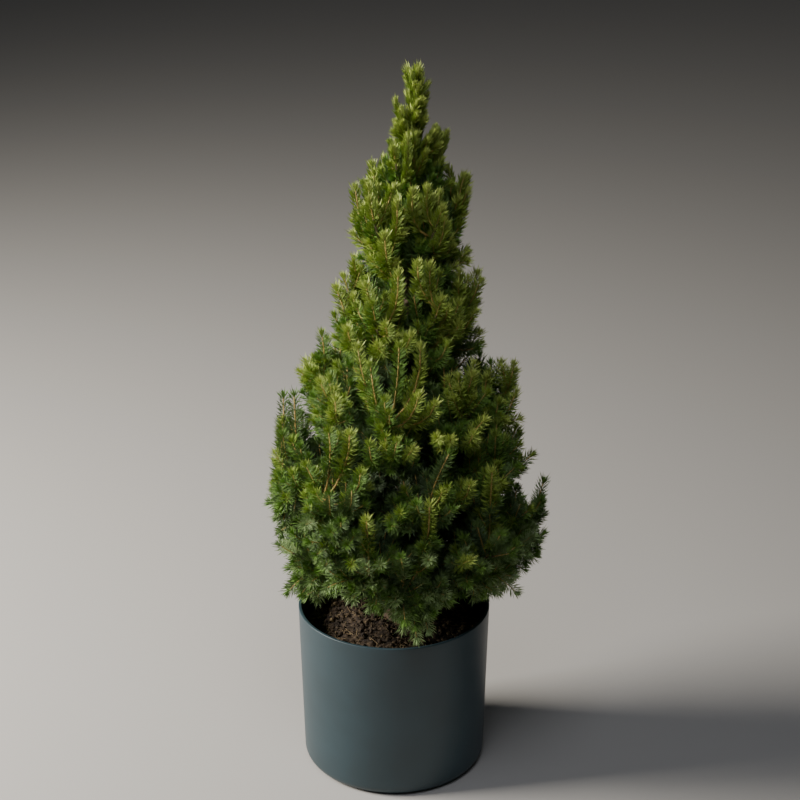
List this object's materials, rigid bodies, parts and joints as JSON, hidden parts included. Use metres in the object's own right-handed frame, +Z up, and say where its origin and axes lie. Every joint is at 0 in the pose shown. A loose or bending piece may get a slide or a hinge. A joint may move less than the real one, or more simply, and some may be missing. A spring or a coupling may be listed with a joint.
{
  "type": "potted dwarf alberta spruce",
  "caption": "Small conical spruce with dense upright shoots of short needles, growing from soil in a round, slightly tapered planter that stands on its flat underside.",
  "frame": {"origin": "centre of the planter's flat underside", "axes": "+Z up along the tree, -Y towards the front, +X towards the side that the tree's tip leans to"},
  "size_m": [0.329, 0.3262, 0.8259],
  "materials": {
    "planter": "matte slate grey, faintly textured, with a worn lighter rim",
    "soil": "crumbly moist peat compost",
    "bark": "thin scaly grey-brown bark",
    "needles": "waxy fresh green needles with yellow-green tips"
  },
  "bodies": {
    "root": {"bough_broad_1": "bark", "bough_broad_2": "bark", "bough_broad_3": "bark", "bough_broad_4": "bark", "bough_broad_5": "bark", "bough_broad_6": "bark", "bough_broad_7": "bark", "bough_low_1": "bark", "bough_low_2": "bark", "bough_low_3": "bark", "bough_low_4": "bark", "bough_low_5": "bark", "bough_low_6": "bark", "bough_low_7": "bark", "foliage_broad_1": "needles", "foliage_broad_2": "needles", "foliage_broad_3": "needles", "foliage_broad_4": "needles", "foliage_broad_5": "needles", "foliage_broad_6": "needles", "foliage_broad_7": "needles", "foliage_crest_1": "needles", "foliage_crest_2": "needles", "foliage_crest_3": "needles", "foliage_leader": "needles", "foliage_low_1": "needles", "foliage_low_2": "needles", "foliage_low_3": "needles", "foliage_low_4": "needles", "foliage_low_5": "needles", "foliage_low_6": "needles", "foliage_low_7": "needles", "foliage_middle_1": "needles", "foliage_middle_2": "needles", "foliage_middle_3": "needles", "foliage_middle_4": "needles", "foliage_middle_5": "needles", "foliage_middle_6": "needles", "foliage_middle_7": "needles", "foliage_shoulder_1": "needles", "foliage_shoulder_2": "needles", "foliage_shoulder_3": "needles", "foliage_shoulder_4": "needles", "foliage_shoulder_5": "needles", "foliage_skirt_1": "needles", "foliage_skirt_2": "needles", "foliage_skirt_3": "needles", "foliage_skirt_4": "needles", "foliage_skirt_5": "needles", "foliage_skirt_6": "needles", "foliage_upper_1": "needles", "foliage_upper_2": "needles", "foliage_upper_3": "needles", "foliage_upper_4": "needles", "foliage_upper_5": "needles", "foliage_upper_6": "needles", "planter": "planter", "soil": "soil", "trunk": "bark"}
  },
  "joints": []
}
